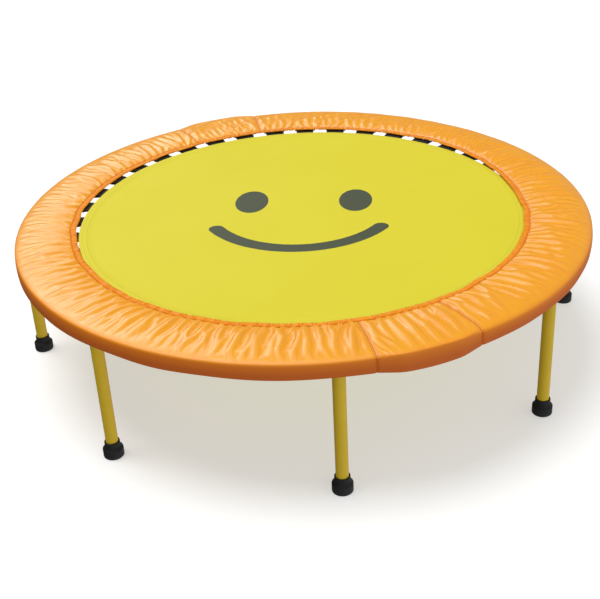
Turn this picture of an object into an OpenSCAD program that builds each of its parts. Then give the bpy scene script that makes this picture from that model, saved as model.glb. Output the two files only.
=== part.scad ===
// Mini trampoline that folds in half: two half rings of steel tube joined by two pin hinges,
// screw-in legs with rubber feet, a mat hung on extension springs, and a padded ring over the springs.
// Millimetres. Z is up from the floor, Y runs along the fold axis, and X points to the half that folds.

/* [Overall] */
// Outer diameter of the padded ring
overall_d = 1220; // [1000:1:1400]
// Height of the jumping surface above the floor
mat_top_z = 278; // [240:1:340]

/* [Mat] */
// Width of the spring ring, from the pad's outer edge in to the mat's edge
spring_ring_w = 131.5; // [127.5:0.5:160]
// Thickness of the mat
mat_t = 1.6; // [1:0.1:2.5]
// Distance from the fold line to each half of the mat
fold_gap = 0.5; // [0.3:0.1:2]

/* [Mat tabs and rings] */
// Width of a webbing tab
tab_w = 42; // [25:1:50]
// Thickness of the webbing
tab_t = 1.2; // [0.8:0.1:1.5]
// Length of webbing sewn under the mat
tab_root = 16; // [10:1:30]
// Distance from the mat's edge to the bar of the ring in the tab
tab_reach = 20.5; // [16:0.5:24]
// Depth of a ring, from the bar in the tab to the bar in the spring
ring_depth = 20; // [16:0.5:22]
// Width inside a ring at the spring
ring_narrow = 13; // [10:1:16]
// Width and thickness of a ring's bars
ring_bar = 2.6; // [2:0.1:2.8]
// Drop from the jumping surface to the middle of the rings
ring_drop = 2.8; // [2.6:0.1:3]

/* [Springs] */
// Number of springs
spring_count = 40; // [32:4:44]
// Outer diameter of a spring's coil
coil_d = 9; // [7:0.5:10]
// Diameter of the spring wire
wire_d = 2.2; // [1.6:0.1:2.4]
// Distance from the ring to the coil
coil_lead = 12; // [9:0.5:14]
// Distance from the coil to the frame tube
coil_tail = 9; // [7:0.5:12]
// Depth of a spring's end inside the frame tube
end_reach = 5; // [4:0.5:7]
// Bend radius of a spring's end inside the frame tube
end_bend_r = 3.5; // [2.5:0.1:4]
// Height of a spring hole round the tube, up from its inner side
hole_angle = 15; // [5:1:30]

/* [Frame] */
// Outer diameter of the frame tube
tube_d = 25; // [22:0.5:28]
// Wall of the frame tube
tube_wall = 1.5; // [1:0.1:2.5]
// Drop from the jumping surface to the top of the frame tube
tube_drop = 0.9; // [0.5:0.1:2]

/* [Hinges] */
// Diameter of a hinge pin
pin_d = 6; // [5:0.5:8]
// Diameter of a pin's rivet heads
pin_head_d = 11; // [10:0.5:13]
// Thickness of a pin's rivet heads
pin_head_t = 2.5; // [2:0.1:4]
// Radius of a hinge eye
eye_r = 9; // [8:0.5:10]
// Thickness of a bracket's plates
plate_t = 2.5; // [2:0.1:4]
// Gap from a hinge eye to the end of the fixed half's tube
tube_end_gap = 1.5; // [1:0.1:4]
// Length of a bracket along the fixed half
bracket_len = 40; // [30:1:44]
// Length of a bracket's seat under the folding half
seat_len = 30; // [20:1:40]
// Length of a tongue from the pin to the folding half's tube
tongue_len = 14; // [12:0.5:18]
// Length of a tongue's plug inside the tube
plug_len = 26; // [15:1:30]

/* [Legs] */
// Number of legs
leg_count = 8; // [8]
// Angle from the front hinge back to the first leg
leg_offset = 15.7; // [10:0.1:22]
// Outer diameter of a leg
leg_d = 24; // [20:0.5:25]
// Wall of a leg
leg_wall = 1.5; // [1:0.1:2.5]
// Height of the threaded boss between frame and leg
boss_h = 14; // [12:0.5:20]
// Depth of a boss's weld in the tube
weld_depth = 1.5; // [1:0.1:2.5]
// Diameter of a leg's stud
stud_d = 10; // [8:0.5:12]
// Length of a stud inside its boss
stud_len = 12; // [10:0.5:12]
// Length of a stud's plug inside the leg
stud_plug_len = 16; // [10:1:30]

/* [Feet] */
// Diameter of a rubber foot
foot_d = 40; // [36:1:48]
// Height of a rubber foot
foot_h = 34; // [30:1:45]
// Height of the wide base of a foot
foot_base_h = 19; // [12:0.5:22]
// Height of the slope between base and collar
foot_slope_h = 5; // [3:0.5:8]
// Rubber around the leg at the collar
foot_collar_t = 3.4; // [2:0.1:4]
// Rubber under the leg
foot_floor = 5; // [3:0.5:8]
// Rounding of the foot's bottom edge
foot_edge = 2; // [1:0.1:3]

/* [Pad] */
// Gap from the mat's edge to the hem of the pad
pad_gap = 5.5; // [2:0.5:12]
// Diameter of the corded hem at the pad's inner edge
hem_d = 5; // [3:0.5:7]
// Height of the pad's underside above the jumping surface
pad_lift = 1.5; // [1:0.1:4]
// Height of the pad over its underside
pad_rise = 11.5; // [8:0.5:14]
// Squareness of the pad's section: 2 is an ellipse
pad_squareness = 3.2; // [2:0.1:5]
// Thickness of the pad's cover
cover_t = 1.2; // [0.8:0.1:2]
// Drop from the jumping surface to the hem of the skirt
skirt_drop = 24; // [18:1:28]
// Angle from a hinge to the seam where the foam ends
seam_angle = 9.5; // [9:0.1:14]
// Drop from the skirt's hem to the hem of a hinge cover
hinge_cover_drop = 6; // [2:0.5:10]
// Slack of a hinge cover round the rivet heads
hinge_cover_slack = 2; // [1.5:0.5:6]

/* [Clearances] */
// Gap between the cover and the parts that it wraps
wrap_gap = 0.3; // [0.2:0.05:0.6]
// Gap between parts of the two halves, and between leg and boss
running_gap = 0.3; // [0.2:0.05:0.6]
// Gap all round a pin or stud in its bore
bore_gap = 0.06; // [0.02:0.01:0.1]
// Gap between a plug or leg and the bore that it is pressed into
press_gap = 0.1; // [0.02:0.01:0.15]
// Gap between webbing, ring and spring eye
link_gap = 0.25; // [0.2:0.05:0.4]

/* [Hidden] */
$fn = 96;
profile_steps = 28;
cut = 1;
eye_sweep = 300;
leg_names = [for (k = [1 : leg_count]) str("leg_tube_", k)];
stud_names = [for (k = [1 : leg_count]) str("leg_stud_", k)];
foot_names = [for (k = [1 : leg_count]) str("foot_", k)];

yellow_paint = "#d8b92c";
zinc = "silver";
black_webbing = "#26211f";
black_rubber = "#1b1c20";
mat_yellow = "#e6de42";
pad_orange = "#f79a28";
foam_white = "#ece6d6";

tube_r = tube_d / 2;
ring_r = overall_d / 2 - cover_t - wrap_gap - tube_r;
tube_z = mat_top_z - tube_drop - tube_r;
tube_bottom_z = tube_z - tube_r;
bore_r = tube_r - tube_wall;

mat_d = overall_d - 2 * spring_ring_w;
mat_r = mat_d / 2;
mat_bottom_z = mat_top_z - mat_t;

link_z = mat_top_z - ring_drop;
tab_bar_r = mat_r + tab_reach;
sleeve_out_r = tab_bar_r + ring_bar / 2 + link_gap + tab_t;
spring_bar_r = tab_bar_r + ring_depth;
wire_r = wire_d / 2;
spring_eye_r = norm([ring_bar, ring_bar]) / 2 + link_gap + wire_r;

hole_r = wire_r + 2 * link_gap;
hole_point = [ring_r - tube_r * cos(hole_angle), tube_z + tube_r * sin(hole_angle)];
spring_tilt = atan2(link_z - hole_point[1], hole_point[0] - spring_bar_r);
spring_len = norm([hole_point[0] - spring_bar_r, link_z - hole_point[1]]);

tongue_w = tube_d + 2 * press_gap;
plate_face = tongue_w / 2 + running_gap;
bracket_half_w = plate_face + plate_t;
seat_z = tube_bottom_z - running_gap;
pin_half_len = bracket_half_w + press_gap;
left_tube_start = eye_r + tube_end_gap;
right_tube_start = tongue_len + 2 * running_gap;

boss_z = tube_bottom_z - boss_h;
leg_top_z = boss_z - running_gap;

pad_base_z = mat_top_z + pad_lift;
pad_hem_r = mat_r + pad_gap + hem_d / 2;
pad_inner_r = pad_hem_r + hem_d / 2 + press_gap;
skirt_z = mat_top_z - skirt_drop;
hinge_cover_r = ring_r + pin_half_len + pin_head_t + hinge_cover_slack + cover_t;

function leg_angle(k) = -90 - leg_offset + (k - 1) * 360 / leg_count;
function is_left(angle) = cos(angle) < 0;
function spring_angle(i) = 90 + (i + 0.5) * 360 / spring_count;
function start_angle(x, r) = asin(x / r);

// Point on the pad's crown: u runs from -1 at the inner edge to 1 at the outer edge
function crown(u, inner_r, outer_r, base, rise) =
    let (shape = pow(max(0, 1 - pow(abs(u), pad_squareness)), 1 / pad_squareness))
    [(inner_r + outer_r) / 2 + u * (outer_r - inner_r) / 2, base + rise * shape];

function crown_line(inner_r, outer_r, base, rise) =
    [for (i = [0 : profile_steps]) crown(-cos(180 * i / profile_steps), inner_r, outer_r, base, rise)];

function reversed(line) = [for (i = [len(line) - 1 : -1 : 0]) line[i]];

module half_turn(side) {
    rotate([0, 0, side == "left" ? 0 : 180]) children();
}

// Sweep of a section round the left half, from a start angle past each end of the fold axis
module half_sweep(start) {
    rotate([0, 0, 90 + start]) rotate_extrude(angle = 180 - 2 * start, $fn = 180) children();
}

// Place of a spring: X along the spring from the middle of its ring's bar
module along_spring() {
    translate([spring_bar_r, 0, link_z]) rotate([0, spring_tilt, 0]) children();
}

// One child for each spring of the left half, with X out from the trampoline's middle
module each_spring() {
    for (i = [0 : spring_count / 2 - 1]) rotate([0, 0, spring_angle(i)]) children();
}

// Place of a hinge: X across the fold, Y out from the trampoline's middle, origin on the pin's axis
module at_hinge(end) {
    translate([0, end == "front" ? -ring_r : ring_r, mat_top_z]) children();
}

module across(r, length) {
    rotate([90, 0, 0]) cylinder(r = r, h = length, center = true);
}

// Frame

module half_tube(start) {
    half_sweep(start_angle(start, ring_r)) translate([ring_r, tube_z]) difference() {
        circle(r = tube_r);
        circle(r = bore_r);
    }
}

module frame_tube(side) {
    color(yellow_paint) half_turn(side) difference() {
        half_tube(side == "left" ? left_tube_start : right_tube_start);
        each_spring() along_spring() translate([spring_len - end_reach, 0, 0])
            rotate([0, 90, 0]) cylinder(r = hole_r, h = 2 * end_reach);
    }
}

module leg_bosses(side) {
    color(yellow_paint) for (k = [1 : leg_count]) if (is_left(leg_angle(k)) == (side == "left"))
        rotate([0, 0, leg_angle(k)]) translate([ring_r, 0, boss_z]) difference() {
            cylinder(r = leg_d / 2, h = boss_h + weld_depth);
            translate([0, 0, -cut]) cylinder(r = stud_d / 2 + bore_gap, h = cut + stud_len + running_gap);
        }
}

// Hinges

module hinge_bracket(end) {
    plate_h = mat_top_z - seat_z + plate_t;
    color(yellow_paint) at_hinge(end) difference() {
        union() {
            for (side = [-1, 1]) translate([0, side * (plate_face + plate_t / 2), 0]) {
                across(eye_r, plate_t);
                translate([-bracket_len, -plate_t / 2, -plate_h])
                    cube([bracket_len + eye_r, plate_t, plate_h - tube_drop]);
            }
            translate([-bracket_len, -bracket_half_w, -plate_h])
                cube([bracket_len + seat_len, 2 * bracket_half_w, plate_t]);
        }
        across(pin_d / 2 + bore_gap, 2 * bracket_half_w + cut);
    }
}

module hinge_pin(end) {
    color(zinc) at_hinge(end) {
        across(pin_d / 2, 2 * (pin_half_len + pin_head_t));
        for (side = [-1, 1]) translate([0, side * (pin_half_len + pin_head_t / 2), 0])
            across(pin_head_d / 2, pin_head_t);
    }
}

module hinge_tongue(end) {
    color(yellow_paint) {
        at_hinge(end) difference() {
            union() {
                across(eye_r - running_gap, tongue_w);
                translate([0, -tongue_w / 2, -tube_drop - tube_d + running_gap])
                    cube([tongue_len, tongue_w, tube_d - running_gap]);
            }
            across(pin_d / 2 + bore_gap, tongue_w + cut);
        }
        plug_start = start_angle(tongue_len - cut, ring_r);
        plug_sweep = start_angle(tongue_len + plug_len, ring_r) - plug_start;
        rotate([0, 0, end == "front" ? -90 + plug_start : 90 - plug_start - plug_sweep])
            rotate_extrude(angle = plug_sweep, $fn = 180)
            translate([ring_r, tube_z]) circle(r = bore_r - press_gap);
    }
}

// Springs, rings, tabs and mat

module spring() {
    rotate([90, 0, 0]) rotate_extrude(angle = eye_sweep)
        translate([spring_eye_r, 0]) circle(r = wire_r, $fn = 32);
    translate([spring_eye_r - wire_r / 2, 0, 0]) rotate([0, 90, 0])
        cylinder(r = wire_r, h = spring_len + end_reach - spring_eye_r + wire_r / 2);
    translate([coil_lead, 0, 0]) rotate([0, 90, 0])
        cylinder(r = coil_d / 2, h = spring_len - coil_lead - coil_tail);
    translate([spring_len + end_reach - wire_r / 2, 0, -end_bend_r]) rotate([90, 0, 0])
        rotate_extrude(angle = 90) translate([end_bend_r, 0]) circle(r = wire_r, $fn = 32);
}

module springs(side) {
    color(zinc) half_turn(side) each_spring() along_spring() spring();
}

// Outline of a ring, grown from its opening, whose sides clear the tab's loop
module ring_outline(grow) {
    inner = tab_bar_r + ring_bar / 2;
    outer = spring_bar_r - ring_bar / 2;
    clear = tab_w / 2 + 2 * link_gap;
    slope = (clear - ring_narrow / 2) / (outer - sleeve_out_r);
    side = clear + slope * sleeve_out_r + grow * norm([1, slope]);
    wide = side - slope * (inner - grow);
    narrow = side - slope * (outer + grow);
    polygon([
        [inner - grow, -wide], [outer + grow, -narrow],
        [outer + grow, narrow], [inner - grow, wide]]);
}

module mat_rings(side) {
    color(zinc) half_turn(side) each_spring()
        translate([0, 0, link_z - ring_bar / 2]) linear_extrude(ring_bar) difference() {
            ring_outline(ring_bar);
            ring_outline(0);
        }
}

module tab_section() {
    sleeve_in = mat_r + running_gap;
    sleeve_h = ring_bar + 2 * link_gap;
    translate([mat_r - tab_root, mat_bottom_z - tab_t]) square([tab_root + running_gap + tab_t, tab_t]);
    difference() {
        translate([sleeve_in, link_z - sleeve_h / 2 - tab_t])
            square([sleeve_out_r - sleeve_in, sleeve_h + 2 * tab_t]);
        translate([sleeve_in + tab_t, link_z - sleeve_h / 2])
            square([sleeve_out_r - sleeve_in - 2 * tab_t, sleeve_h]);
    }
}

module mat_tabs(side) {
    color(black_webbing) half_turn(side) each_spring()
        rotate([90, 0, 0]) linear_extrude(tab_w, center = true) tab_section();
}

module mat(side) {
    color(mat_yellow) half_turn(side) translate([0, 0, mat_bottom_z]) difference() {
        cylinder(r = mat_r, h = mat_t, $fn = 180);
        translate([-fold_gap, -mat_r - cut, -cut])
            cube([mat_r + fold_gap + cut, 2 * (mat_r + cut), mat_t + 2 * cut]);
    }
}

// Pad

module cover_section(outer_r, hem_z, underside_r) {
    outside = crown_line(pad_inner_r, outer_r, pad_base_z, pad_rise);
    inside = crown_line(pad_inner_r + cover_t, outer_r - cover_t,
        pad_base_z + cover_t, pad_rise - 2 * cover_t);
    polygon(concat(
        [[underside_r, pad_base_z]], outside,
        [[outer_r, hem_z], [outer_r - cover_t, hem_z]],
        reversed(inside), [[underside_r, pad_base_z + cover_t]]));
}

module hem_section() {
    translate([pad_hem_r, pad_base_z + hem_d / 2]) circle(r = hem_d / 2, $fn = 32);
}

module pad_cover(side) {
    color(pad_orange) half_turn(side) half_sweep(seam_angle)
        cover_section(overall_d / 2, skirt_z, ring_r - tube_r);
}

module pad_hem(side) {
    color(pad_orange) half_turn(side) half_sweep(seam_angle) hem_section();
}

module pad_foam(side) {
    skin = cover_t + wrap_gap;
    color(foam_white) half_turn(side) half_sweep(seam_angle)
        polygon(crown_line(pad_inner_r + skin, overall_d / 2 - skin,
            pad_base_z + skin, pad_rise - 2 * skin));
}

module hinge_cover(end) {
    color(pad_orange) rotate([0, 0, (end == "front" ? -90 : 90) - seam_angle])
        rotate_extrude(angle = 2 * seam_angle, $fn = 180) {
            cover_section(hinge_cover_r, skirt_z - hinge_cover_drop, pad_inner_r + hem_d);
            hem_section();
        }
}

// Legs

module at_leg(k) {
    rotate([0, 0, leg_angle(k)]) translate([ring_r, 0, 0]) children();
}

module leg_tube(k) {
    bottom = foot_floor + running_gap;
    color(yellow_paint) at_leg(k) translate([0, 0, bottom]) difference() {
        cylinder(r = leg_d / 2, h = leg_top_z - bottom);
        translate([0, 0, -cut]) cylinder(r = leg_d / 2 - leg_wall, h = leg_top_z - bottom + 2 * cut);
    }
}

module leg_stud(k) {
    color(zinc) at_leg(k) {
        translate([0, 0, leg_top_z - stud_plug_len])
            cylinder(r = leg_d / 2 - leg_wall - press_gap, h = stud_plug_len);
        translate([0, 0, leg_top_z - cut]) cylinder(r = stud_d / 2, h = cut + running_gap + stud_len);
    }
}

module foot(k) {
    sleeve_r = leg_d / 2 + press_gap;
    collar_r = sleeve_r + foot_collar_t;
    color(black_rubber) at_leg(k) rotate_extrude() polygon([
        [0, 0], [foot_d / 2 - foot_edge, 0], [foot_d / 2, foot_edge], [foot_d / 2, foot_base_h],
        [collar_r, foot_base_h + foot_slope_h], [collar_r, foot_h],
        [sleeve_r, foot_h], [sleeve_r, foot_floor], [0, foot_floor]]);
}

frame_tube("left");  // left_frame_tube
frame_tube("right");  // right_frame_tube
leg_bosses("left");  // left_leg_bosses
leg_bosses("right");  // right_leg_bosses
hinge_bracket("front");  // front_hinge_bracket
hinge_bracket("rear");  // rear_hinge_bracket
hinge_pin("front");  // front_hinge_pin
hinge_pin("rear");  // rear_hinge_pin
hinge_tongue("front");  // front_hinge_tongue
hinge_tongue("rear");  // rear_hinge_tongue
springs("left");  // left_springs
springs("right");  // right_springs
mat("left");  // left_mat
mat("right");  // right_mat
mat_tabs("left");  // left_mat_tabs
mat_tabs("right");  // right_mat_tabs
mat_rings("left");  // left_mat_rings
mat_rings("right");  // right_mat_rings
pad_foam("left");  // left_pad_foam
pad_foam("right");  // right_pad_foam
pad_cover("left");  // left_pad_cover
pad_cover("right");  // right_pad_cover
pad_hem("left");  // left_pad_hem
pad_hem("right");  // right_pad_hem
hinge_cover("front");  // front_hinge_cover
hinge_cover("rear");  // rear_hinge_cover
for (k = [1 : leg_count]) {
    leg_tube(k);
    leg_stud(k);
    foot(k);
}
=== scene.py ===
import math

import bmesh
import bpy
import numpy as np
from mathutils import Matrix, Vector


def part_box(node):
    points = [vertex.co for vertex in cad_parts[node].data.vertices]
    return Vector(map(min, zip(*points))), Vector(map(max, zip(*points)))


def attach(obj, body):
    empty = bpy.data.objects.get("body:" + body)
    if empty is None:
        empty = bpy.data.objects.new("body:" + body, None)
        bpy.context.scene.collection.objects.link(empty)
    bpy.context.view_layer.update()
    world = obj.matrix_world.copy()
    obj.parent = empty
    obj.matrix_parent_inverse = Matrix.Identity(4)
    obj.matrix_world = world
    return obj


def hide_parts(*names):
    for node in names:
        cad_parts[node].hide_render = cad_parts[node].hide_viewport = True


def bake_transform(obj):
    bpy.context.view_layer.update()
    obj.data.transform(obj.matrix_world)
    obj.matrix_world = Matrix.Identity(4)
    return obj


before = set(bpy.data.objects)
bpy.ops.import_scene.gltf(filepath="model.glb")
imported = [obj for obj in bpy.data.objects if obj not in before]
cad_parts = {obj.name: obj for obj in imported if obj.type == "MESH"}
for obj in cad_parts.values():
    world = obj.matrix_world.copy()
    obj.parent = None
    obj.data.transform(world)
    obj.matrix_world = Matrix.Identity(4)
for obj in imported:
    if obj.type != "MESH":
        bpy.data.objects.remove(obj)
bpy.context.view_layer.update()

# sizes that the pieces share, read from the frame
tubeLow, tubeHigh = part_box("left_frame_tube")
tubeRadius = (tubeHigh.z - tubeLow.z) / 2
tubeZ = (tubeHigh.z + tubeLow.z) / 2
frameRadius = -tubeLow.x - tubeRadius
matLow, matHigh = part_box("left_mat")
matRadius = -matLow.x
matTop, matBottom = matHigh.z, matLow.z
padLow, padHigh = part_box("left_pad_cover")
padRadius = -padLow.x
skirtZ, crownZ = padLow.z, padHigh.z
hemLow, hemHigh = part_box("left_pad_hem")
padBaseZ = hemLow.z
cordRadius = (hemHigh.z - hemLow.z) / 2
coverLow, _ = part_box("front_hinge_cover")
coverRadius, coverZ = -coverLow.y, coverLow.z
ringLow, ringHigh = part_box("left_mat_rings")
linkZ = (ringLow.z + ringHigh.z) / 2
wireBar = ringHigh.z - ringLow.z
sides = {"left": ("left_half", "mat_left"), "right": ("right_half", "mat_right")}  # frame body, mat body
print("frame loaded:", len(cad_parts), "nodes")


class Wire:  # one output of a node, with maths on it
    def __init__(self, tree, socket):
        self.tree = tree
        self.socket = socket

    def node(self, kind, settings, sockets, out=0):
        made = self.tree.nodes.new("ShaderNode" + kind)
        for name, value in settings.items():
            setattr(made, name, value)
        for name, value in sockets.items():
            if isinstance(value, Wire):
                self.tree.links.new(value.socket, made.inputs[name])
            else:
                made.inputs[name].default_value = value
        return Wire(self.tree, made.outputs[out])

    def maths(self, operation, *values):
        return self.node("Math", {"operation": operation}, dict(enumerate(values)))

    def __add__(self, other):
        return self.maths("ADD", self, other)

    def __radd__(self, other):
        return self.maths("ADD", other, self)

    def __sub__(self, other):
        return self.maths("SUBTRACT", self, other)

    def __rsub__(self, other):
        return self.maths("SUBTRACT", other, self)

    def __mul__(self, other):
        return self.maths("MULTIPLY", self, other)

    def __rmul__(self, other):
        return self.maths("MULTIPLY", other, self)

    def __truediv__(self, other):
        return self.maths("DIVIDE", self, other)

    def __pow__(self, other):
        return self.maths("POWER", self, other)

    def __abs__(self):
        return self.maths("ABSOLUTE", self)

    def above(self, edge, soft):  # 0 below edge, 1 above it
        ends = {0: self, 1: edge - soft, 2: edge + soft}
        return self.node("MapRange", {"interpolation_type": "SMOOTHSTEP"}, ends)

    def below(self, edge, soft):
        return 1 - self.above(edge, soft)

    def mix(self, low, high):  # a colour, with this wire as the factor
        ends = {0: self, 6: low, 7: high}
        return self.node("Mix", {"data_type": "RGBA"}, ends, out=2)

    def wave(self, pitch):  # a sine that repeats each pitch
        return self.maths("SINE", self * (2 * math.pi / pitch))

    def least(self, other):
        return self.maths("MINIMUM", self, other)

    def most(self, other):
        return self.maths("MAXIMUM", self, other)

    def parts(self):
        split = self.node("SeparateXYZ", {}, {0: self}).socket.node
        return [Wire(self.tree, split.outputs[i]) for i in range(3)]

    def noise(self, scale, detail):
        values = {"Vector": self, "Scale": scale, "Detail": detail}
        return self.node("TexNoise", {}, values)

    def bump(self, height, strength, distance):
        values = {"Height": height, "Strength": strength, "Distance": distance}
        return self.node("Bump", {}, values)


def srgb(red, green, blue):
    def linear(value):
        share = value / 255
        return share / 12.92 if share <= 0.04045 else ((share + 0.055) / 1.055) ** 2.4
    return (linear(red), linear(green), linear(blue), 1.0)


def newMaterial(name, **fixed):  # with its shader, its object coordinates and its cloth coordinates
    material = bpy.data.materials.new(name)
    material.use_nodes = True
    tree = material.node_tree
    shader = tree.nodes["Principled BSDF"]
    for socket, value in fixed.items():
        shader.inputs[socket.replace("_", " ")].default_value = value
    here = tree.nodes.new("ShaderNodeTexCoord")
    cloth = tree.nodes.new("ShaderNodeUVMap")
    cloth.uv_map = "cloth"
    return material, shader, Wire(tree, here.outputs["Object"]), Wire(tree, cloth.outputs["UV"])


def feed(shader, **wires):
    for socket, wire in wires.items():
        wire.tree.links.new(wire.socket, shader.inputs[socket.replace("_", " ")])


# pairs in the finishes: a noise's scale and detail, an edge's place and softness, a bump's strength and depth
padCloth = {
    "colour": srgb(250, 172, 32), "dip": srgb(242, 148, 18),  # the top, and its deeper patches
    # painted shade: the shoulder and the skirt are painted deeper and darker orange for the shade that falls
    # on the pad's rolled edge and side
    "shoulder": srgb(244, 133, 8), "shoulderAt": 0.006, "shoulderSoft": 0.009,
    "skirt": srgb(217, 103, 5), "skirtAt": 0.006, "skirtSoft": 0.013,
    "cord": srgb(249, 162, 28), "cordDip": srgb(224, 114, 10),  # the hem
    # painted shade: the seam grooves are painted a darker orange-red for the shade in them
    "shadedGroove": srgb(196, 86, 8), "grooveShadeShare": 0.75, "thread": srgb(218, 100, 12), "threadShare": 0.8,
    "gloss": 0.42, "hemGloss": 0.15, "rough": 0.26, "patchRough": 0.14, "fineRough": 0.05,
    "hemRough": 0.2, "skirtRough": 0.33, "seamRough": 0.35,
    "patchNoise": (9.0, 4.0), "fineNoise": (70.0, 3.0), "patchDip": 0.3, "streakDip": 0.3, "puckerDip": 0.7,
    "streak": (75.0, 6.0, 0.0), "pucker": (420.0, 60.0, 0.0),  # fine lines that run out from the hem
    "lineNoise": (1.0, 3.0), "lineEdge": (0.55, 0.2),
    "weavePitch": 0.0011, "stitchPitch": 0.006, "stitchDash": (-0.3, 0.3), "stitchFaint": 0.45,
    "hemStitch": (0.0012, 0.0006), "seamStitch": (0.0009, 0.0004), "stitchAway": 0.0036,
    "seamGroove": (0.0012, 0.0009),
    "weaveHigh": 0.4, "fineHigh": 0.3, "streakHigh": 1.5, "seamHigh": 2.0, "bump": (0.25, 0.0003),
}


def makePadCloth(name, skirtRow):  # skirtRow is where the skirt begins, and 0 on the hem
    c = padCloth
    stitched = skirtRow > 0
    if stitched:
        gloss, lines, dip, pale, deep = "gloss", "streak", "streakDip", "colour", "dip"
    else:
        gloss, lines, dip, pale, deep = "hemGloss", "pucker", "puckerDip", "cord", "cordDip"
    material, shader, here, cloth = newMaterial(name, Specular_IOR_Level=c[gloss])
    along, across, _ = cloth.parts()
    patch = here.noise(*c["patchNoise"])
    fine = here.noise(*c["fineNoise"])
    weave = along.wave(c["weavePitch"]) * across.wave(c["weavePitch"])
    pulled = cloth.node("VectorMath", {"operation": "MULTIPLY"}, {0: cloth, 1: c[lines]})
    streak = pulled.noise(*c["lineNoise"])
    colour = (patch * c["patchDip"] + streak.above(*c["lineEdge"]) * c[dip]).mix(c[pale], c[deep])
    height = weave * c["weaveHigh"] + fine * c["fineHigh"] + streak * c["streakHigh"]
    rough = c["rough"] + c["patchRough"] * patch - c["fineRough"] * fine
    if stitched:
        hemDash = along.wave(c["stitchPitch"]).above(*c["stitchDash"])
        hemRow = abs(across - padSet["stitchRow"]).below(*c["hemStitch"])
        hemRow = hemRow * (c["stitchFaint"] + (1 - c["stitchFaint"]) * hemDash)
        away = abs(along - seamTurns[0] * padRadius)
        for turn in seamTurns[1:]:
            away = away.least(abs(along - turn * padRadius))
        seamDash = across.wave(c["stitchPitch"]).above(*c["stitchDash"])
        seamRow = abs(away - c["stitchAway"]).below(*c["seamStitch"]) * seamDash
        shadedGroove = away.below(*c["seamGroove"])
        # painted shade, deeper orange over the shoulder and darker down the skirt
        shoulder = across.above(skirtRow - c["shoulderAt"], c["shoulderSoft"])
        skirt = across.above(skirtRow + c["skirtAt"], c["skirtSoft"])
        thread = hemRow.most(seamRow)
        colour = skirt.mix(shoulder.mix(colour, c["shoulder"]), c["skirt"])
        # painted shade in the seam grooves
        colour = (shadedGroove * c["grooveShadeShare"]).mix(colour, c["shadedGroove"])
        colour = (thread * c["threadShare"]).mix(colour, c["thread"])
        height = height + thread * c["seamHigh"] - shadedGroove * c["seamHigh"]
        rough = rough + c["skirtRough"] * shoulder + c["seamRough"] * shadedGroove.most(seamRow)
    else:
        rough = rough + c["hemRough"]
    feed(shader, Base_Color=colour, Roughness=rough, Normal=here.bump(height, *c["bump"]))
    return material


matCloth = {
    "colour": srgb(225, 214, 52), "weft": srgb(216, 203, 40), "print": srgb(59, 70, 63),
    "printShare": 0.96, "printDeep": 0.0001, "thread": srgb(150, 136, 30), "threadShare": 0.35,
    "cloudNoise": (5.0, 3.0), "cloudShare": 0.6,
    "gloss": 0.16, "rough": 0.6, "cloudRough": 0.12, "printRough": 0.06, "bump": (0.2, 0.0004),
    "weavePitch": 0.0024, "weaveShare": 0.12, "weaveHigh": 0.4,
    "hemWidth": 0.020, "stitchRows": (0.017, 0.008), "stitchWide": (0.0008, 0.0004),
    "stitchPitch": 0.005, "stitchDash": (-0.2, 0.3),
    "faceTurn": -24.75,  # degrees about the mat's middle
    "eyeApart": 0.115, "eyeUp": 0.0645, "eyeWide": 0.0366, "eyeTall": 0.0567, "eyeSoft": 0.02,
    "mouthUp": 0.0423, "mouthAside": -0.004, "mouthRadius": 0.2063, "mouthSpan": 57.4,
    "mouthThick": 0.0165, "mouthSoft": 0.0006,
}


def makeMatCloth():
    c = matCloth
    material, shader, here, _ = newMaterial("mat_cloth", Specular_IOR_Level=c["gloss"])
    x, y, z = here.parts()
    turn = math.radians(c["faceTurn"])
    faceX = x * math.cos(turn) + y * math.sin(turn)
    faceY = y * math.cos(turn) - x * math.sin(turn)
    eyeX = (abs(faceX) - c["eyeApart"]) / c["eyeWide"]
    eyeY = (faceY - c["eyeUp"]) / c["eyeTall"]
    eye = (eyeX * eyeX + eyeY * eyeY).below(1.0, c["eyeSoft"])
    down = c["mouthUp"] - faceY
    aside = faceX - c["mouthAside"]
    lean = abs(aside.maths("ARCTAN2", aside, down))
    past = (lean - math.radians(c["mouthSpan"])).most(0.0) * c["mouthRadius"]
    stray = (aside * aside + down * down) ** 0.5 - c["mouthRadius"]
    mouth = ((stray * stray + past * past) ** 0.5).below(c["mouthThick"], c["mouthSoft"])
    topSide = z.above((matTop + matBottom) / 2, c["printDeep"])
    ink = eye.most(mouth) * topSide  # printed on the upper face only
    weave = x.wave(c["weavePitch"]) * y.wave(c["weavePitch"])
    cloud = here.noise(*c["cloudNoise"])
    inset = matRadius - (x * x + y * y) ** 0.5
    dash = (x.maths("ARCTAN2", y, x) * matRadius).wave(c["stitchPitch"]).above(*c["stitchDash"])
    rows = [abs(inset - at).below(*c["stitchWide"]) for at in c["stitchRows"]]
    thread = (rows[0] + rows[1]) * dash
    cloth = (cloud * c["cloudShare"] + weave * c["weaveShare"]).mix(c["colour"], c["weft"])
    cloth = (thread * c["threadShare"]).mix(cloth, c["thread"])
    colour = (ink * c["printShare"]).mix(cloth, c["print"])
    rough = c["rough"] + c["cloudRough"] * cloud - c["printRough"] * ink
    height = weave * c["weaveHigh"] + thread
    feed(shader, Base_Color=colour, Roughness=rough, Normal=here.bump(height, *c["bump"]))
    return material


powderCoat = {
    "colour": srgb(235, 200, 28), "worn": srgb(220, 181, 18), "wornShare": 0.7, "gloss": 0.4,
    "rough": 0.38, "cloudRough": 0.12, "cloudNoise": (14.0, 4.0), "peelNoise": (900.0, 2.0),
    "bump": (0.12, 0.0004),
}


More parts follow.
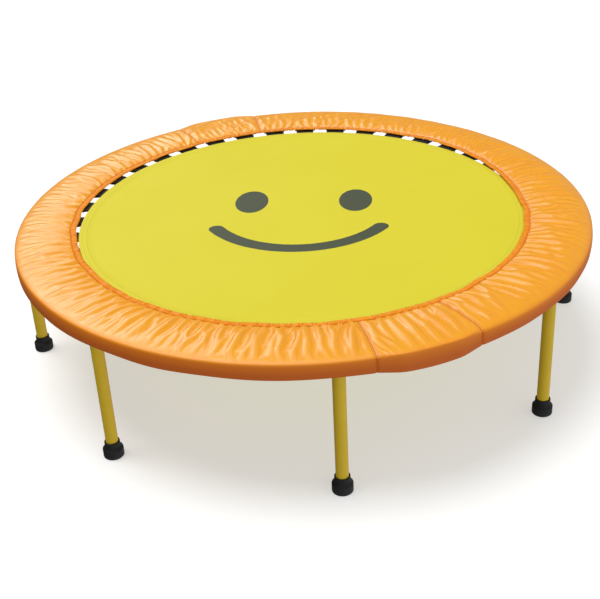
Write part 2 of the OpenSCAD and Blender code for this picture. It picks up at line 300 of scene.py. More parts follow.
def makePowderCoat():
    c = powderCoat
    material, shader, here, _ = newMaterial("yellow_powder_coat", Specular_IOR_Level=c["gloss"])
    cloud = here.noise(*c["cloudNoise"])
    peel = here.noise(*c["peelNoise"])
    colour = (cloud * c["wornShare"]).mix(c["colour"], c["worn"])
    feed(shader, Base_Color=colour, Roughness=c["rough"] + c["cloudRough"] * cloud,
         Normal=here.bump(peel, *c["bump"]))
    return material


zincPlate = {
    "colour": srgb(190, 192, 194), "stain": srgb(140, 140, 138), "stainShare": 0.6, "stainEdge": (0.55, 0.15),
    "rough": 0.3, "cloudRough": 0.2, "cloudNoise": (120.0, 4.0), "grainNoise": (1500.0, 2.0),
    "bump": (0.1, 0.0002),
}


def makeZincPlate():
    c = zincPlate
    material, shader, here, _ = newMaterial("zinc_plate", Metallic=1.0)
    cloud = here.noise(*c["cloudNoise"])
    grain = here.noise(*c["grainNoise"])
    colour = (cloud.above(*c["stainEdge"]) * c["stainShare"]).mix(c["colour"], c["stain"])
    feed(shader, Base_Color=colour, Roughness=c["rough"] + c["cloudRough"] * cloud,
         Normal=here.bump(grain, *c["bump"]))
    return material


webbing = {
    "colour": srgb(24, 21, 20), "light": srgb(52, 46, 42), "ribShare": 0.25, "fuzzShare": 0.5, "gloss": 0.3,
    "ribPitch": 0.0016, "fuzzNoise": (400.0, 3.0), "rough": 0.75, "fuzzRough": 0.1, "bump": (0.5, 0.0003),
}


def makeWebbing():
    c = webbing
    material, shader, here, cloth = newMaterial("black_webbing", Specular_IOR_Level=c["gloss"])
    along, across, _ = cloth.parts()
    rib = across.wave(c["ribPitch"]) * along.wave(c["ribPitch"])
    fuzz = here.noise(*c["fuzzNoise"])
    colour = (rib * c["ribShare"] + fuzz * c["fuzzShare"]).mix(c["colour"], c["light"])
    feed(shader, Base_Color=colour, Roughness=c["rough"] + c["fuzzRough"] * fuzz,
         Normal=here.bump(rib + fuzz, *c["bump"]))
    return material


rubber = {
    "colour": srgb(13, 14, 17), "dust": srgb(46, 46, 48), "scuffShare": 0.7, "cloudShare": 0.08, "gloss": 0.4,
    "rough": 0.5, "cloudRough": 0.2, "scuffRough": 0.15,
    "scuffHigh": (0.006, 0.005), "scuffEdge": (0.5, 0.12),
    "cloudNoise": (45.0, 4.0), "grainNoise": (700.0, 2.0), "bump": (0.2, 0.0003),
}


def makeRubber():
    c = rubber
    material, shader, here, _ = newMaterial("black_rubber", Specular_IOR_Level=c["gloss"])
    cloud = here.noise(*c["cloudNoise"])
    grain = here.noise(*c["grainNoise"])
    _, _, z = here.parts()
    scuff = z.below(*c["scuffHigh"]) * cloud.above(*c["scuffEdge"])  # near the floor
    colour = (scuff * c["scuffShare"] + cloud * c["cloudShare"]).mix(c["colour"], c["dust"])
    rough = c["rough"] + c["cloudRough"] * cloud + c["scuffRough"] * scuff
    feed(shader, Base_Color=colour, Roughness=rough, Normal=here.bump(grain, *c["bump"]))
    return material


def newPiece(name, points, faces, material, slot, cloth=None):
    mesh = bpy.data.meshes.new(name)
    mesh.from_pydata(points, [], faces)
    if cloth is not None:  # one pair of cloth coordinates for each face corner
        mesh.uv_layers.new(name="cloth").data.foreach_set("uv", np.asarray(cloth, np.float32).ravel())
    mesh.materials.append(material)
    mesh.polygons.foreach_set("use_smooth", np.ones(len(mesh.polygons), bool))
    mesh.update()
    piece = bpy.data.objects.new(name, mesh)
    bpy.context.scene.collection.objects.link(piece)
    return piece


meshSet = {"joinWithin": 1e-6, "flatWithin": 1e-7, "sharpAngle": 40.0}


def tidyMesh(piece):  # joins doubled points, drops flat faces, closes holes and turns faces outward
    work = bmesh.new()
    work.from_mesh(piece.data)
    bmesh.ops.remove_doubles(work, verts=work.verts, dist=meshSet["joinWithin"])
    bmesh.ops.dissolve_degenerate(work, edges=work.edges, dist=meshSet["flatWithin"])
    bmesh.ops.holes_fill(work, edges=work.edges)
    bmesh.ops.recalc_face_normals(work, faces=work.faces)
    work.to_mesh(piece.data)
    work.free()
    piece.data.set_sharp_from_angle(angle=math.radians(meshSet["sharpAngle"]))


def gridFaces(columns, rows, wrapColumns, wrapRows):  # quads, counted column by column
    columnStarts = np.arange(columns - (not wrapColumns))
    rowStarts = np.arange(rows - (not wrapRows))
    i, j = [grid.ravel() for grid in np.meshgrid(columnStarts, rowStarts, indexing="ij")]
    iNext, jNext = (i + 1) % columns, (j + 1) % rows
    faces = np.stack([i * rows + j, iNext * rows + j, iNext * rows + jNext, i * rows + jNext], 1)
    return faces, i, j


def ringSurface(name, points, thetas, material, slot):  # points by column and row, closed both ways
    columns, rows, _ = points.shape
    faces, i, j = gridFaces(columns, rows, True, True)
    step = np.linalg.norm(np.roll(points, -1, axis=1) - points, axis=2).mean(0)
    run = np.concatenate([[0], np.cumsum(step)])
    turn = np.append(thetas, thetas[0] + 2 * math.pi) * padRadius
    corners = [(i, j), (i + 1, j), (i + 1, j + 1), (i, j + 1)]
    cloth = np.stack([np.stack([turn[a], run[b]], 1) for a, b in corners], 1)
    return newPiece(name, points.reshape(-1, 3).tolist(), faces.tolist(), material, slot,
                    cloth.reshape(-1, 2))


def aroundAxis(thetas, radii, heights):
    return np.stack([radii * np.cos(thetas)[:, None], radii * np.sin(thetas)[:, None], heights], 2)


def smoothStep(low, high, value):
    share = np.clip((value - low) / (high - low), 0, 1)
    return share * share * (3 - 2 * share)


def ripple(theta, lowest, highest, seed, count=9):  # smooth noise round the ring, about -1 to 1
    draw = np.random.default_rng(seed)
    turns = draw.integers(lowest, highest + 1, count)
    phases = draw.uniform(0, 2 * math.pi, count)
    waves = [np.cos(n * theta + p) for n, p in zip(turns, phases)]
    return sum(waves) * 1.4 / math.sqrt(count)


padSet = {
    "columns": 2400, "topRows": 36, "shoulder": 0.9, "shoulderRows": 9, "shoulderPower": 1.6,
    "skirtRows": 11, "underRows": 7, "insideRows": (0.0, 0.35, 0.7), "heldRows": 4,
    "thick": 0.0013, "innerMean": 0.479, "innerShift": 0.0095, "shiftToward": 80.0, "innerWave": 0.0008,
    "pulls": ((-14.0, 22.0, -0.008), (27.0, 14.0, 0.005), (150.0, 25.0, 0.004)),  # angle, width, amount
    "crownAt": 0.62, "innerRound": 1.8, "outerRound": 3.2, "hingeRound": 7.0, "hemLift": 0.6,
    "softSide": -15.0, "softEdge": (0.1, 0.8), "softRound": 2.1, "softDrop": 0.006, "softInset": 0.004,
    "seamAngle": 9.6, "seamDepth": 0.0016, "seamWide": 0.0022, "seamStart": 0.1, "stitchRow": 0.0042,
    "coverFlat": 0.47, "coverDrop": 1.7, "coverShare": 0.8, "underGap": 0.004,
    "skirtWave": 0.0006, "skirtBulge": 0.0008, "lumps": 0.0008, "lumpSlant": 0.4,
}
hingeSeams = ((90, 1), (270, -1), (270, 1), (450, -1), (450, 1))  # the last is the first again
seamTurns = [math.radians(hinge + side * padSet["seamAngle"]) for hinge, side in hingeSeams]
hemSet = {
    "wide": 0.0125, "tall": 0.0058, "tuck": 0.0022, "columns": 3600, "around": 14,
    "gathers": 330, "wander": 1.6, "swell": 0.75, "narrow": 0.25, "flat": 0.8,
}


def hingeAway(theta):  # degrees to the nearest hinge
    return np.degrees(np.abs(np.arcsin(np.clip(np.cos(theta), -1, 1))))


def hingeShare(theta):  # 1 over a hinge, 0 past its seams
    seam = padSet["seamAngle"]
    return 1 - smoothStep(padSet["coverFlat"] * seam, seam, hingeAway(theta))


def innerEdge(theta):  # the pad sits off centre, further over the mat at the front
    p = padSet
    shift = p["innerShift"] * np.cos(theta - math.radians(p["shiftToward"]))
    for angle, wide, amount in p["pulls"]:  # where the elastic draws it in or lets it out
        away = np.degrees(np.angle(np.exp(1j * (theta - math.radians(angle)))))
        shift = shift + amount * np.exp(-(away / wide) ** 2)
    return p["innerMean"] + shift + p["innerWave"] * ripple(theta, 14, 40, 5)


def edgeSoftness(theta):  # 1 where the pad rolls over its edge most, 0 at the far side and over a hinge
    toward = np.cos(theta - math.radians(padSet["softSide"]))
    return smoothStep(*padSet["softEdge"], toward) * (1 - hingeShare(theta))


def padFace(theta, across, down):  # radius and height of the smooth pad, top rows and then skirt rows
    p = padSet
    hinge = hingeShare(theta)[:, None]
    hang = p["coverShare"] * np.clip(1 - (hingeAway(theta) / p["seamAngle"]) ** p["coverDrop"], 0, 1)
    inner = innerEdge(theta)[:, None] + hemSet["wide"] - hemSet["tuck"]
    outer = padRadius + (coverRadius - padRadius) * hinge
    bottom = (skirtZ + (coverZ - skirtZ) * hang + p["skirtWave"] * ripple(theta, 9, 30, 21))[:, None]
    inward = np.clip((p["crownAt"] - across) / p["crownAt"], 0, 1)
    outward = np.clip((across - p["crownAt"]) / (1 - p["crownAt"]), 0, 1)
    soft = edgeSoftness(theta)[:, None]
    bulge = p["outerRound"] + (p["hingeRound"] - p["outerRound"]) * hinge
    bulge = bulge + (p["softRound"] - p["outerRound"]) * soft
    edgeZ = padBaseZ - p["softDrop"] * soft
    shape = np.where(across < p["crownAt"], (1 - inward ** p["innerRound"]) ** (1 / p["innerRound"]),
                     (1 - outward ** bulge) ** (1 / bulge))
    lumps = [ripple(theta + p["lumpSlant"] * u, 20, 70, 31) * math.sin(math.pi * u) for u in across]
    lumps = p["lumps"] * np.stack(lumps, 1)
    topR = inner + (outer - inner) * across
    footZ = np.where(across < p["crownAt"], padBaseZ, edgeZ)
    topZ = footZ + p["hemLift"] * cordRadius * (1 - across) + (crownZ - p["thick"] - footZ) * shape + lumps
    skirtR = outer + p["skirtBulge"] * np.sin(math.pi * down)
    skirtRowZ = edgeZ + (bottom - edgeZ) * down
    return np.hstack([topR, skirtR]), np.hstack([topZ, skirtRowZ]), inner, outer, bottom, edgeZ, shape


def seamLines(theta):  # 1 on a seam, 0 beside it
    near = np.zeros_like(theta)
    for turn in seamTurns:
        near = np.maximum(near, np.exp(-((theta - turn) * padRadius / padSet["seamWide"]) ** 2))
    return near


gatherSet = {  # the cover is cut longer than the hem, and drawn up
    "fullness": 0.085, "fade": 0.95, "fadePower": 1.1, "uneven": 0.5, "rearCalm": 0.25,
    "slackSide": 52.0, "slackShare": 0.6,
    "folds": 122, "foldHigh": 0.0042, "foldSpread": (0.5, 1.5), "pillow": 0.75,
    "reach": (0.45, 1.2), "startFade": (-0.03, 0.06), "endFade": (0.45, 1.0),
    "warp": 1.0, "slant": 1.6, "wiggle": 0.2, "wiggleTurn": 7, "wiggleStray": 3,
    "passes": 160, "drag": 0.88, "shear": 0.2, "bendAlong": ((2, 0.2), (6, 0.15)), "bendAcross": 0.25,
    "sink": 0.0004, "rise": 0.0065,
}


def firstFolds(theta, across):  # small pillows between creases, from which the cloth settles
    g = gatherSet
    draw = np.random.default_rng(3)
    high = draw.uniform(*g["foldSpread"], g["folds"]) * g["foldHigh"]
    reach = draw.uniform(*g["reach"], g["folds"])
    t, u = theta[:, None], across[None, :]
    phase = g["folds"] * t / (2 * math.pi) + g["warp"] * ripple(t, 20, 90, 4)
    wiggle = g["wiggle"] * np.sin(g["wiggleTurn"] * u + g["wiggleStray"] * ripple(t, 40, 120, 6))
    phase = phase + u * g["slant"] * ripple(t, 6, 30, 5) + wiggle
    fold = np.floor(phase).astype(int) % g["folds"]
    fade = smoothStep(*g["startFade"], u) * (1 - smoothStep(*g["endFade"], u / reach[fold]))
    return high[fold] * fade * np.abs(np.sin(math.pi * phase)) ** g["pillow"]


def bands(count, step):  # slices of points and of those a step further on, so that none meets twice
    return [(slice(k, count - step, 2 * step), slice(k + step, count, 2 * step)) for k in range(2 * step)]


def clothPairs(along, across):  # which points are tied, at what length and how firmly
    g = gatherSet
    columns, rows = across.shape[0], along.shape[1]
    every, low, high = slice(None), slice(0, rows - 1), slice(1, rows)
    corner = np.hypot((along[:, 1:] + along[:, :-1]) / 2, (across[1:] + across[:-1]) / 2)
    pairs = []
    for a, b in bands(columns, 1):
        pairs.append(((a, every), (b, every), along[a], 1.0))
        pairs.append(((a, low), (b, high), corner[a], g["shear"]))
        pairs.append(((a, high), (b, low), corner[a], g["shear"]))
    for a, b in bands(rows, 1):
        pairs.append(((every, a), (every, b), across[:, a], 1.0))
    run = np.concatenate([np.zeros((1, rows)), np.cumsum(along, axis=0)])
    for span, firm in g["bendAlong"]:
        for a, b in bands(columns, span):
            pairs.append(((a, every), (b, every), (run[span:] - run[:-span])[a], firm))
    for a, b in bands(rows, 2):
        pairs.append(((every, a), (every, b), (across[:, :-1] + across[:, 1:])[:, a], g["bendAcross"]))
    return pairs


def settleCloth(base, normal, spare, folds, held):  # ties pull to length, the foam holds from below
    g = gatherSet
    along = np.linalg.norm(np.diff(base, axis=0), axis=2) * (1 + (spare[1:] + spare[:-1]) / 2)
    across = np.linalg.norm(np.diff(base, axis=1), axis=2)
    pairs = clothPairs(along, across)
    points = base + normal * folds[..., None]
    before = points.copy()
    for _ in range(g["passes"]):
        speed = (points - before) * g["drag"]
        before = points
        points = points + speed
        for first, second, rest, firm in pairs:
            gap = points[second] - points[first]
            length = np.sqrt(np.einsum("ijk,ijk->ij", gap, gap))
            move = gap * (0.5 * firm * (1 - rest / length))[..., None]
            points[first] += move
            points[second] -= move
        height = np.einsum("ijk,ijk->ij", points - base, normal)
        points += normal * (np.clip(height, -g["sink"], g["rise"]) - height)[..., None]
        points[held] = base[held]
    return points


def drawnUp(theta, across):  # how much longer the cloth is cut than its place, and its first folds
    g = gatherSet
    rear = (np.sin(theta) > 0)[:, None] * hingeShare(theta)[:, None]
    calm = 1 - (1 - g["rearCalm"]) * rear
    spare = g["fullness"] * np.clip(1 - across / g["fade"], 0, 1) ** g["fadePower"] * calm
    toward = (1 + np.cos(theta - math.radians(g["slackSide"]))) / 2
    slack = 1 - g["slackShare"] * toward ** 2  # drawn up less on one side
    spare = spare * (slack * (1 + g["uneven"] * ripple(theta, 10, 60, 9)))[:, None]
    return spare, firstFolds(theta, across) * calm * slack[:, None]


def padInside(theta, across, inner, outer, bottom, edgeZ, shape):  # the skirt's back, then the underside
    p = padSet
    backZ = bottom + (edgeZ - bottom) * np.array(p["insideRows"])
    backR = np.broadcast_to(outer - p["thick"], backZ.shape)
    under = np.linspace(1, 0, p["underRows"])
    underR = inner + (outer - p["thick"] - p["softInset"] * edgeSoftness(theta)[:, None] - inner) * under
    lift = np.array([np.interp(under, across, row) for row in shape]) * (crownZ - padBaseZ - p["underGap"])
    underZ = padBaseZ + hingeShare(theta)[:, None] * lift
    return aroundAxis(theta, np.hstack([backR, underR]), np.hstack([backZ, underZ]))


def makePad():
    p = padSet
    theta = seamTurns[0] + np.linspace(0, 2 * math.pi, p["columns"] + 1)
    across = np.linspace(0, p["shoulder"], p["topRows"])
    rounding = np.linspace(1, 0, p["shoulderRows"] + 1)[1:]
    across = np.concatenate([across, 1 - (1 - p["shoulder"]) * rounding ** p["shoulderPower"]])
    down = np.linspace(0, 1, p["skirtRows"] + 1)[1:]
    faceR, faceZ, inner, outer, bottom, edgeZ, shape = padFace(theta, across, down)
    slopeR, slopeZ = np.gradient(faceR, axis=1), np.gradient(faceZ, axis=1)
    length = np.hypot(slopeR, slopeZ)
    outR, outZ = -slopeZ / length, slopeR / length
    rows = np.append(across, 1 + down)
    sink = p["seamDepth"] * seamLines(theta)[:, None] * smoothStep(0.0, p["seamStart"], rows)
    face = aroundAxis(theta, faceR - outR * sink, faceZ - outZ * sink)
    normal = aroundAxis(theta, outR, outZ)
    top = len(across)
    spare, folds = drawnUp(theta, across)
    held = np.zeros((len(theta), top), bool)
    held[:, 0] = held[:, top - p["heldRows"]:] = True
    held[np.argmin(np.abs(theta[:, None] - np.array(seamTurns)), axis=0)] = True
    face[:, :top] = settleCloth(face[:, :top], normal[:, :top], spare, folds, held)
    inside = padInside(theta, across, inner, outer, bottom, edgeZ, shape)
    skirtRow = np.linalg.norm(np.diff(face[:, :top], axis=1), axis=2).sum(1).mean()
    pad = ringSurface("pad_cover", np.hstack([face, inside])[:-1], theta[:-1],
                      makePadCloth("pad_cloth", skirtRow), "pad_cloth")
    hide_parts("left_pad_cover", "right_pad_cover", "left_pad_foam", "right_pad_foam",
                "front_hinge_cover", "rear_hinge_cover")
    return pad


def makeHem(material):  # the elastic's casing, drawn up into small gathers
    h = hemSet
    theta = np.linspace(0, 2 * math.pi, h["columns"], endpoint=False)
    turn = np.linspace(0, 2 * math.pi, h["around"], endpoint=False)
    phase = h["gathers"] * theta / 2 + h["wander"] * ripple(theta, 30, 140, 41)
    size = (1 - h["swell"] + h["swell"] * np.abs(np.sin(phase)))[:, None]
    side = np.sign(np.cos(turn)) * np.abs(np.cos(turn)) ** h["flat"]
    width = 1 - h["narrow"] + h["narrow"] * size
    radii = innerEdge(theta)[:, None] + h["wide"] / 2 * (1 + width * side)
    heights = padBaseZ + h["tall"] / 2 * (1 + size * np.sin(turn))
    hem = ringSurface("pad_hem", aroundAxis(theta, radii, heights), theta, material, "pad_cloth")
    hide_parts("left_pad_hem", "right_pad_hem")
    return hem


def bendAtFold(piece):  # cloth that crosses both hinges; this only bakes its placement into its points and does not bend it
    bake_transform(piece)


matSet = {
    "rings": 40, "columns": 120, "hemRows": (0.95, 0.5, 0.05, 0.0), "hemRise": 0.0004, "edgeRound": 0.0005,
    "margin": 1e-6,
}


def makeMat(side, material):
    m = matSet
    start = math.pi / 2 if side == "left" else -math.pi / 2
    theta = np.linspace(start, start + math.pi, m["columns"] + 1)
    hem = matCloth["hemWidth"]
    radii = np.concatenate([np.linspace(0.0, matRadius - hem, m["rings"]),
                            matRadius - hem * np.array(m["hemRows"])])
    step = (radii > matRadius - hem + m["margin"]) * m["hemRise"]
    top = matTop - m["hemRise"] + step - (radii > matRadius - m["margin"]) * m["edgeRound"]
    profileR = np.concatenate([radii, radii[::-1]])
    profileZ = np.concatenate([top, np.full(len(radii), matBottom)])
    radiusGrid, angleGrid = np.meshgrid(profileR, theta)
    points = np.stack([radiusGrid * np.cos(angleGrid), radiusGrid * np.sin(angleGrid),
                       np.broadcast_to(profileZ, radiusGrid.shape)], 2)
    faces, _, _ = gridFaces(len(theta), len(profileR), False, True)
    mat = newPiece(side + "_mat_sheet", points.reshape(-1, 3).tolist(), faces.tolist(), material, "mat_cloth")
    tidyMesh(mat)
    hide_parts(side + "_mat")
    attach(mat, sides[side][1])


def tubeAlong(path, radius, around, closed):  # points and faces of a round wire
    path = np.asarray(path, float)
    count = len(path)
    ahead = np.roll(path, -1, 0) - np.roll(path, 1, 0)
    if not closed:
        ahead[0], ahead[-1] = path[1] - path[0], path[-1] - path[-2]
    ahead /= np.linalg.norm(ahead, axis=1)[:, None]
    steep = abs(ahead[0][2]) >= 0.9
    side = np.cross(ahead[0], [0.0, 1.0, 0.0] if steep else [0.0, 0.0, 1.0])
    points = []
    for k in range(count):
        side = side - ahead[k] * side.dot(ahead[k])
        side /= np.linalg.norm(side)
        up = np.cross(ahead[k], side)
        for a in np.linspace(0, 2 * math.pi, around, endpoint=False):
            points.append(path[k] + radius * (math.cos(a) * side + math.sin(a) * up))
    faces = gridFaces(count, around, closed, True)[0].tolist()
    if not closed:
        faces += [list(range(around)), list(range(count * around - 1, (count - 1) * around - 1, -1))]
    return np.array(points), faces


linkSet = {
    "springs": 40, "holeAngle": 15.0,
    "ringDepth": 0.020, "ringWide": 0.0517, "ringNarrow": 0.0141, "ringCorner": 0.0035, "ringAround": 8,
    "tabReach": 0.0205, "tabWide": 0.042, "tabThick": 0.0012, "tabColumns": 7,
    "tabRoot": 0.016, "rootGap": 0.0001, "sewnTo": 0.006, "clearOf": 0.004, "rootSag": 0.0006,
    "loopGap": 0.00025, "loopTurn": 1.5, "loopSteps": 9, "loopFrom": 0.006,
    "endOut": 0.0006, "endSag": (0.0004, 0.0009),
}
tabBarRadius = matRadius + linkSet["tabReach"]
springBarRadius = tabBarRadius + linkSet["ringDepth"]


def linkAngles(side):
    first = 90 if side == "left" else -90
    step = 360 / linkSet["springs"]
    return [math.radians(first + (i + 0.5) * step) for i in range(linkSet["springs"] // 2)]


def roundedLoop(corners, radius, steps=5):  # a closed flat path with its corners rounded
    path = []
    for k, corner in enumerate(corners):
        here = Vector(corner)
        before = (Vector(corners[k - 1]) - here).normalized()
        after = (Vector(corners[(k + 1) % len(corners)]) - here).normalized()
        near, far = here + before * radius, here + after * radius
        for s in np.linspace(0, 1, steps):
            path.append((1 - s) ** 2 * near + 2 * s * (1 - s) * here + s ** 2 * far)
    return [tuple(p) for p in path]


def spunCopies(points, faces, angles):  # one copy at each angle, as one mesh
    points = np.asarray(points)
    allPoints, allFaces = [], []
    for angle in angles:
        turn = np.array(Matrix.Rotation(angle, 3, "Z"))
        allFaces += [[n + len(allPoints) * len(points) for n in face] for face in faces]
        allPoints.append(points @ turn.T)
    return np.concatenate(allPoints).tolist(), allFaces


def makeRings(side, material):
    wide, narrow = linkSet["ringWide"] / 2, linkSet["ringNarrow"] / 2
    corners = [(tabBarRadius, -wide, linkZ), (springBarRadius, -narrow, linkZ),
               (springBarRadius, narrow, linkZ), (tabBarRadius, wide, linkZ)]
    path = roundedLoop(corners, linkSet["ringCorner"])
    points, faces = tubeAlong(path, wireBar / 2, linkSet["ringAround"], True)
    rings = newPiece(side + "_wire_rings", *spunCopies(points, faces, linkAngles(side)), material, "zinc")
    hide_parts(side + "_mat_rings")
    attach(rings, sides[side][1])


def makeTabs(side, material):
    s = linkSet
    loop = wireBar / 2 + s["loopGap"] + s["tabThick"] / 2  # middle of the webbing round the bar
    under, over = linkZ - loop, linkZ + loop
    rootZ = matBottom - s["tabThick"] / 2 - s["rootGap"]
    path = [(matRadius - s["tabRoot"], rootZ), (matRadius - s["sewnTo"], rootZ)]
    path += [(matRadius + s["clearOf"], rootZ - s["rootSag"]), (tabBarRadius - s["loopFrom"], under)]
    for a in np.linspace(-s["loopTurn"], s["loopTurn"], s["loopSteps"]):
        path.append((tabBarRadius + loop * math.cos(a), linkZ + loop * math.sin(a)))
    path += [(tabBarRadius - s["loopFrom"], over), (matRadius + s["clearOf"], over - s["endSag"][0])]
    path += [(matRadius + s["endOut"], over - s["endSag"][1])]  # back against the mat's edge
    path = np.array(path)
    ahead = np.gradient(path, axis=0)
    ahead /= np.linalg.norm(ahead, axis=1)[:, None]
    normal = np.stack([-ahead[:, 1], ahead[:, 0]], 1) * s["tabThick"] / 2
    outline = np.concatenate([path + normal, (path - normal)[::-1]])
    run = np.concatenate([[0], np.cumsum(np.linalg.norm(np.diff(outline, axis=0), axis=1))])
    widths = np.linspace(-s["tabWide"] / 2, s["tabWide"] / 2, s["tabColumns"])
    points = [(r, w, z) for w in widths for r, z in outline]
    quads, i, j = gridFaces(len(widths), len(outline), False, True)
    runNext = np.append(run, run[-1])
    corners = [(i, j), (i + 1, j), (i + 1, j + 1), (i, j + 1)]
    cloth = np.stack([np.stack([widths[a], runNext[b]], 1) for a, b in corners], 1)
    half = len(path)
    caps = []
    for w, flip in ((0, False), (len(widths) - 1, True)):
        for k in range(half - 1):
            cap = [w * len(outline) + n for n in (k, k + 1, 2 * half - 2 - k, 2 * half - 1 - k)]
            caps.append(cap[::-1] if flip else cap)
    faces = quads.tolist() + caps
    cloth = np.concatenate([cloth.reshape(-1, 2), np.zeros((4 * len(caps), 2))])
    angles = linkAngles(side)
    tabs = newPiece(side + "_webbing_tabs", *spunCopies(points, faces, angles), material, "black_webbing",
                    np.tile(cloth, (len(angles), 1)))
    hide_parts(side + "_mat_tabs")
    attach(tabs, sides[side][1])


springSet = {
    "coil": 0.009, "wire": 0.0022, "spread": 1.06, "taper": 0.75, "perTurn": 12, "around": 6,
    "eyeGap": 0.0005, "eyeTurn": (-5.4, -0.35), "eyeSteps": 18, "lead": 0.012, "leadKink": 0.55,
    "tail": 0.009, "tailKink": 0.4, "end": 0.005, "bend": 0.0035, "bendTurn": 1.5, "bendSteps": 6,
}


def springPath(length):  # X runs from the ring's bar to the hole in the frame tube
    s = springSet
    coilR = (s["coil"] - s["wire"]) / 2
    eyeR = wireBar / 2 + s["eyeGap"] + s["wire"] / 2
    eyeTurns = np.linspace(*s["eyeTurn"], s["eyeSteps"])
    path = [(eyeR * math.cos(a), 0.0, eyeR * math.sin(a)) for a in eyeTurns]
    coilLength = length - s["lead"] - s["tail"]
    steps = int(coilLength / (s["wire"] * s["spread"])) * s["perTurn"]
    taper = s["taper"] * s["perTurn"]  # the coil grows from the middle and shrinks back to it
    path.append((s["lead"] * s["leadKink"], 0.0, 0.0))
    for k in range(steps + 1):
        a = 2 * math.pi * k / s["perTurn"]
        rise = min(1.0, k / taper, (steps - k) / taper)
        reach = coilR * math.sin(rise * math.pi / 2)
        path.append((s["lead"] + coilLength * k / steps, reach * math.cos(a), reach * math.sin(a)))
    path += [(length - s["tail"] * s["tailKink"], 0.0, 0.0), (length, 0.0, 0.0)]
    far = length + s["end"]
    for a in np.linspace(0, s["bendTurn"], s["bendSteps"]):  # hooked down inside the tube
        path.append((far + s["bend"] * math.sin(a), 0.0, s["bend"] * (math.cos(a) - 1)))
    return path


def makeSprings(material):
    hole = math.radians(linkSet["holeAngle"])
    rise = tubeZ + tubeRadius * math.sin(hole) - linkZ
    run = frameRadius - tubeRadius * math.cos(hole) - springBarRadius
    length = math.hypot(run, rise)
    points, faces = tubeAlong(springPath(length), springSet["wire"] / 2, springSet["around"], False)
    lay = Matrix.Rotation(-math.atan2(rise, run), 4, "Y")
    number = 0
    for side, (half, matBody) in sides.items():
        for angle in linkAngles(side):
            number += 1
            place = Matrix.Rotation(angle, 4, "Z") @ Matrix.Translation((springBarRadius, 0, linkZ)) @ lay
            turned = points @ np.array(place.to_3x3()).T + np.array(place.translation)
            spring = newPiece(f"spring_{number:02d}", turned.tolist(), faces, material, "zinc")
            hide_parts(side + "_springs")
            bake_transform(spring)


footSet = {
    "collar": 0.0149, "baseHigh": 0.0182, "slope": 0.0052, "round": 0.0022, "lip": 0.001,
    "shoulder": 0.0008, "shoulderTurn": 50,
    "tread": ((0.0, 0.0015), (0.006, 0.0015), (0.0065, 0.0), (0.010, 0.0), (0.0105, 0.0015),
              (0.0125, 0.0015), (0.013, 0.0)),
    "legGap": 0.0001, "insideDeep": 0.006, "around": 48,
}


def arc(centre, radius, start, end, steps):  # points from one angle to another, in degrees
    turns = np.radians(np.linspace(start, end, steps))
    return [(centre[0] + radius * math.cos(a), centre[1] + radius * math.sin(a)) for a in turns]


def makeFoot(number, material):
    f = footSet
    low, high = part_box(f"foot_{number}")
    legLow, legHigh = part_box(f"leg_tube_{number}")
    middle = (low + high) / 2
    wide = (high.x - low.x) / 2
    tall = high.z - low.z
    legR = (legHigh.x - legLow.x) / 2
    neck = f["baseHigh"] + f["slope"]
    profile = list(f["tread"])
    profile += arc((wide - f["round"], f["round"]), f["round"], -90, 0, 6)
    edge = (wide - f["shoulder"], f["baseHigh"] - f["shoulder"])
    profile += arc(edge, f["shoulder"], 0, f["shoulderTurn"], 4)
    profile += [(f["collar"] + f["shoulder"] / 2, neck - f["shoulder"] / 2)]
    profile += [(f["collar"], neck + f["shoulder"])]
    profile += arc((f["collar"] - f["lip"], tall - f["lip"]), f["lip"], 0, 90, 5)
    profile += [(legR + f["legGap"], tall), (legR + f["legGap"], tall - f["insideDeep"])]
    turns = np.linspace(0, 2 * math.pi, f["around"], endpoint=False)
    points = [(middle.x + r * math.cos(a), middle.y + r * math.sin(a), low.z + z)
              for a in turns for r, z in profile]
    faces = gridFaces(len(turns), len(profile), True, False)[0].tolist()
    foot = newPiece(f"rubber_foot_{number}", points, faces, material, "black_rubber")
    tidyMesh(foot)
    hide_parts(f"foot_{number}")
    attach(foot, f"leg_{number}")


def dress(material, *names):  # a finish for parts that keep the frame's own shape
    for name in names:
        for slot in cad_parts[name].material_slots:
            slot.material = material


camSet = {
    "target": (-0.0135, 0.0049, 0.0640), "distance": 2.491, "azimuth": -20.0, "elevation": 29.68,
    "roll": -3.10, "lens": 66.18, "sensor": 36.0,
}


def makeCamera():
    c = camSet
    turn = Matrix.Rotation(math.radians(c["azimuth"]), 3, "Z")
    rise = math.radians(c["elevation"])
    back = turn @ Vector((0, -math.cos(rise), math.sin(rise)))
    level = turn @ Vector((1, 0, 0))
    upright = back.cross(level)
    roll = math.radians(c["roll"])
    right = level * math.cos(roll) + upright * math.sin(roll)
    up = back.cross(right)
    data = bpy.data.cameras.new("camera")
    data.lens, data.sensor_width = c["lens"], c["sensor"]
    camera = bpy.data.objects.new("camera", data)
    camera.matrix_world = Matrix((right, up, back)).transposed().to_4x4()
    camera.location = Vector(c["target"]) + back * c["distance"]
    bpy.context.scene.collection.objects.link(camera)
    bpy.context.scene.camera = camera


studio = {
    "floorColour": srgb(205, 205, 205), "floorPaintedGlow": 0.48, "floorSize": 14.0,
    "floorRough": 0.9, "floorGloss": 0.1,
    "skyAbove": 0.36, "skyBelow": 0.44, "horizon": 0.15, "backdrop": 1.0, "brightSide": -50.0, "lean": 0.8,
    "sun": {"strength": 2.25, "spread": 36.0, "aim": (-13.0, -11.0, 0.0)},
    "softbox": {"power": 55.0, "wide": 2.2, "tall": 0.9, "place": (-0.5, 2.65, 2.2)},
}


